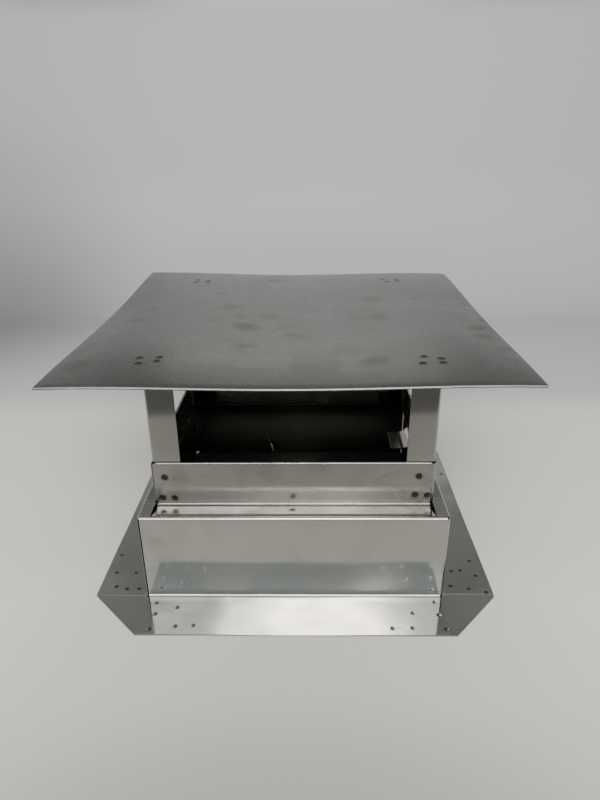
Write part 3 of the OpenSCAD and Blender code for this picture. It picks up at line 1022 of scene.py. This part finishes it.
CARD_MARGIN = 20.0 * MM  # how far the card of painted shade reaches under the flange strips
# the card's colour is painted shade
SHADE_CARD_COLOUR = (0.11, 0.105, 0.09)
SKY, GROUND = (0.21, 0.22, 0.23), (0.27, 0.27, 0.26)
SKY_FULL = 0.12  # the sky's colour is reached this far above the horizon
LIGHTS_AIM = (0.0, -0.15, 0.0)

# (name, degrees right of the front, degrees above the horizon, metres away, size, radiance, colour)
LIGHTS = (
    ("window", 2, 47.5, 1.6, (0.62, 0.25), 9.0, (1.0, 0.98, 0.95)),
    ("window_middle", 3.5, 47.5, 1.58, (0.42, 0.25), 10.0, (1.0, 0.98, 0.94)),
    ("soft_band", 0, 47.5, 2.0, (2.8, 0.33), 5.0, (0.93, 0.97, 1.0)),
    ("warm_lamp", 3, 46, 1.5, (0.34, 0.10), 13.0, (1.0, 0.80, 0.52)),
    ("ceiling_box", 0, 82, 1.5, (2.8, 1.1), 3.3, (1.0, 0.99, 0.96)),
    ("front_fill", 0, 31, 2.2, (2.4, 0.86), 1.2, (0.75, 0.90, 1.0)),
    ("gap_fill", 0, 57, 2.2, (2.4, 0.40), 1.0, (0.9, 0.95, 1.0)),
    ("front_strip", 0, 13, 2.2, (2.4, 0.4), 20.0, (1.0, 0.98, 0.95)),
    ("cap_glow", 180, 33.7, 1.442, (0.86, 0.12), 0.9, (1.0, 1.0, 0.97)),
)


def by_distance(n, point, stops, smooth=True):
    """Brightness of the studio by the distance from a fixed point."""
    made = n.node("ShaderNodeVectorMath", operation="DISTANCE")
    n.join(made.inputs[0], n.place)
    made.inputs[1].default_value = point
    return n.ramp(made.outputs["Value"], stops, smooth)


def sweep(name):
    """A pale table with a grey background that curves up behind it, with painted light and shade on both."""
    turns = [math.pi / 2 * k / WALL_STEPS for k in range(WALL_STEPS + 1)]
    profile = [(TABLE_FRONT, 0.0)]
    profile += [(WALL_Y - WALL_BEND + WALL_BEND * math.sin(a), WALL_BEND * (1 - math.cos(a))) for a in turns]
    profile.append((WALL_Y, WALL_HEIGHT))
    points = [(x, y, z) for y, z in profile for x in (-SWEEP_WIDTH / 2, SWEEP_WIDTH / 2)]
    faces = [[2 * i, 2 * i + 1, 2 * i + 3, 2 * i + 2] for i in range(len(profile) - 1)]
    floor = linked(name, mesh_of(name, points, faces))
    floor.data.shade_smooth()
    n = Nodes("studio_floor")
    split = n.node("ShaderNodeSeparateXYZ")
    n.join(split.inputs[0], n.place)
    depth = n.math("SUBTRACT", split.outputs["Y"], TABLE_FRONT, True)
    change = TABLE_BACK - TABLE_FRONT
    colour = n.ramp(
        depth, [(change - TABLE_BLEND, TABLE_COLOUR), (change + TABLE_BLEND, WALL_COLOUR)], smooth=False
    )
    height = n.math("MULTIPLY", split.outputs["Z"], 1 / HEIGHT_REACH)
    low, high = OUT_OF_VIEW
    above_view = n.ramp(height, [(low / HEIGHT_REACH, 0.0), (high / HEIGHT_REACH, 1.0)])
    glow = n.mix(above_view, (1.0, 1.0, 1.0), by_distance(n, PAINTED_GLOW_AT, PAINTED_GLOW))
    # painted shadow on the table, painted light and shade on the wall above the view, painted shade in the
    # left corner
    for factor in (by_distance(n, SHADE_AT, SHADE, smooth=False), glow, by_distance(n, DIM_AT, DIM)):
        colour = n.mix(1.0, colour, factor, "MULTIPLY")
    n.join(n.shader.inputs["Base Color"], colour)
    n.shader.inputs["Roughness"].default_value = 0.7
    floor.data.materials.append(n.material)


def dark_card(name):
    """A dark card on the table inside the base: painted shade for the table in the deep shadow under the
    cowl.
    """
    reach = BASE_HALF + CARD_MARGIN
    points = [(x * reach, y * reach, 0.05 * SHEET) for x, y in ((-1, -1), (1, -1), (1, 1), (-1, 1))]
    card = linked(name, mesh_of(name, points, [[0, 1, 2, 3]]))
    n = Nodes("dark_card")
    n.shader.inputs["Base Color"].default_value = (*SHADE_CARD_COLOUR, 1)
    n.shader.inputs["Roughness"].default_value = 0.9
    card.data.materials.append(n.material)


def area_light(name, across, up, distance, size, radiance, colour):
    """A rectangle of light that faces LIGHTS_AIM."""
    a, b = math.radians(across), math.radians(up)
    way = Vector((math.sin(a) * math.cos(b), -math.cos(a) * math.cos(b), math.sin(b)))
    data = bpy.data.lights.new(name, "AREA")
    data.shape = "RECTANGLE"
    data.size, data.size_y = size
    data.energy = radiance * math.pi * size[0] * size[1]
    data.color = colour
    lamp = linked(name, data)
    lamp.location = Vector(LIGHTS_AIM) + way * distance
    lamp.rotation_euler = way.to_track_quat("Z", "Y").to_euler()


def world():
    """An even sky with a slightly lighter ground."""
    scene_world = bpy.data.worlds.new("studio")
    scene_world.use_nodes = True
    tree = scene_world.node_tree
    place = tree.nodes.new("ShaderNodeTexCoord")
    split = tree.nodes.new("ShaderNodeSeparateXYZ")
    ramp = tree.nodes.new("ShaderNodeValToRGB")
    for element, at, colour in zip(ramp.color_ramp.elements, (0.0, SKY_FULL), (GROUND, SKY)):
        element.position = at
        element.color = (*colour, 1)
    tree.links.new(place.outputs["Generated"], split.inputs[0])
    tree.links.new(split.outputs["Z"], ramp.inputs[0])
    tree.links.new(ramp.outputs["Color"], tree.nodes["Background"].inputs["Color"])
    bpy.context.scene.world = scene_world


def camera(place, yaw, pitch, roll, lens):
    """The camera. yaw: degrees to the right; pitch: degrees down; roll: degrees clockwise."""
    data = bpy.data.cameras.new("camera")
    data.lens = lens
    data.sensor_width = 36
    data.clip_start = 0.01
    seen = linked("camera", data)
    turn = Matrix.Rotation(math.radians(-yaw), 4, "Z")
    tip = Matrix.Rotation(math.radians(90 - pitch), 4, "X")
    lean = Matrix.Rotation(math.radians(-roll), 4, "Z")
    seen.matrix_world = Matrix.Translation(place) @ turn @ tip @ lean
    bpy.context.scene.camera = seen


sweep("studio_sweep")
# a dark card of painted shade inside the base
dark_card("inner_shade_card")
for light in LIGHTS:
    area_light(*light)
world()
camera((0.0167, -0.6298, 0.4354), yaw=-1.06, pitch=24.2, roll=0.61, lens=27.27)
